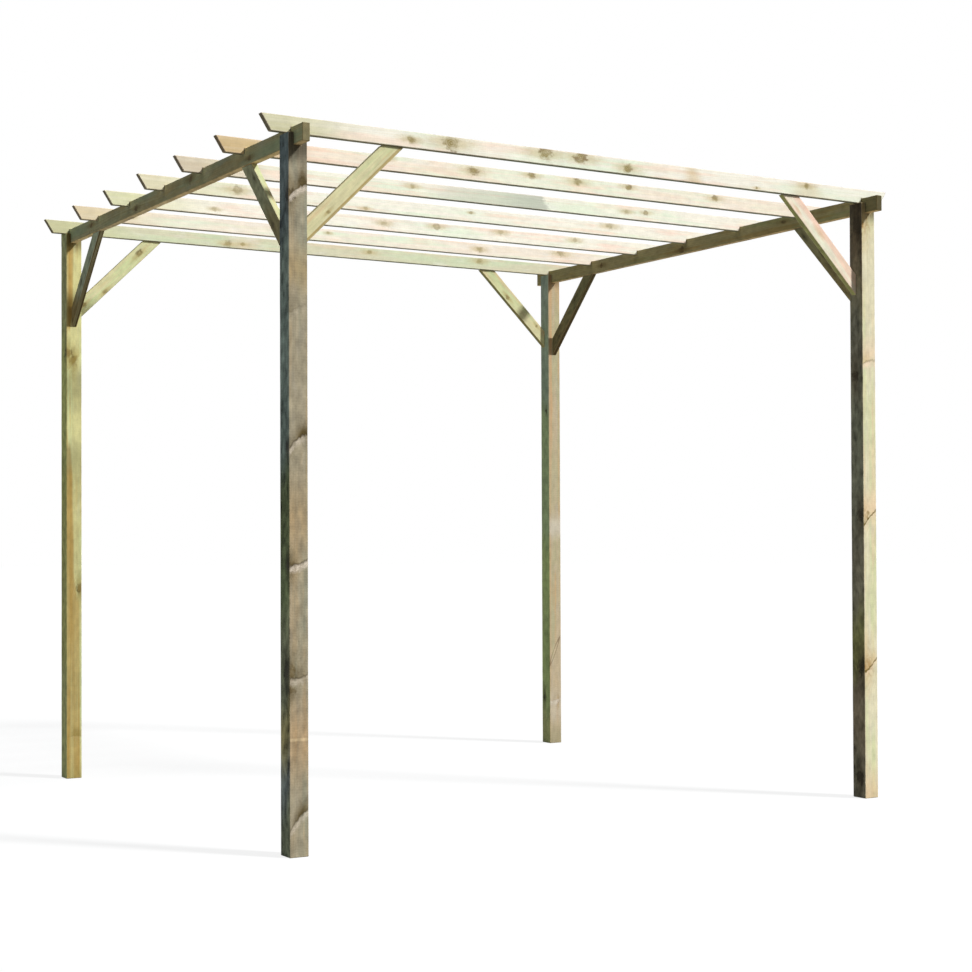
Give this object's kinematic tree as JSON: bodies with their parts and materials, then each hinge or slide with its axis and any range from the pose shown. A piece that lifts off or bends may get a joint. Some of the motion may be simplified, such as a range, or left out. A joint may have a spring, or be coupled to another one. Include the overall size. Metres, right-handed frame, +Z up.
{
  "type": "wooden pergola",
  "caption": "Open timber garden pergola: square corner posts carry side beams, notched rafters across the top and angled knee braces.",
  "frame": {"origin": "on the ground under the middle of the frame", "axes": "+X to the right along the rafters, +Y from front to rear along the beams, +Z up"},
  "size_m": [2.8, 2.45, 2.457],
  "materials": {
    "post_timber": "planed treated softwood, lightly weathered",
    "beam_timber": "planed treated softwood, green tint",
    "rafter_timber": "planed treated softwood, pale with small knots",
    "brace_timber": "planed treated softwood, green tint"
  },
  "bodies": {
    "root": {"post_front_left": "post_timber", "post_front_right": "post_timber", "post_rear_left": "post_timber", "post_rear_right": "post_timber", "beam_left": "beam_timber", "beam_right": "beam_timber", "rafter_1": "rafter_timber", "rafter_2": "rafter_timber", "rafter_3": "rafter_timber", "rafter_4": "rafter_timber", "rafter_5": "rafter_timber", "rafter_6": "rafter_timber", "rafter_7": "rafter_timber", "brace_across_front_left": "brace_timber", "brace_across_front_right": "brace_timber", "brace_across_rear_left": "brace_timber", "brace_across_rear_right": "brace_timber", "brace_along_front_left": "brace_timber", "brace_along_front_right": "brace_timber", "brace_along_rear_left": "brace_timber", "brace_along_rear_right": "brace_timber"}
  },
  "joints": []
}
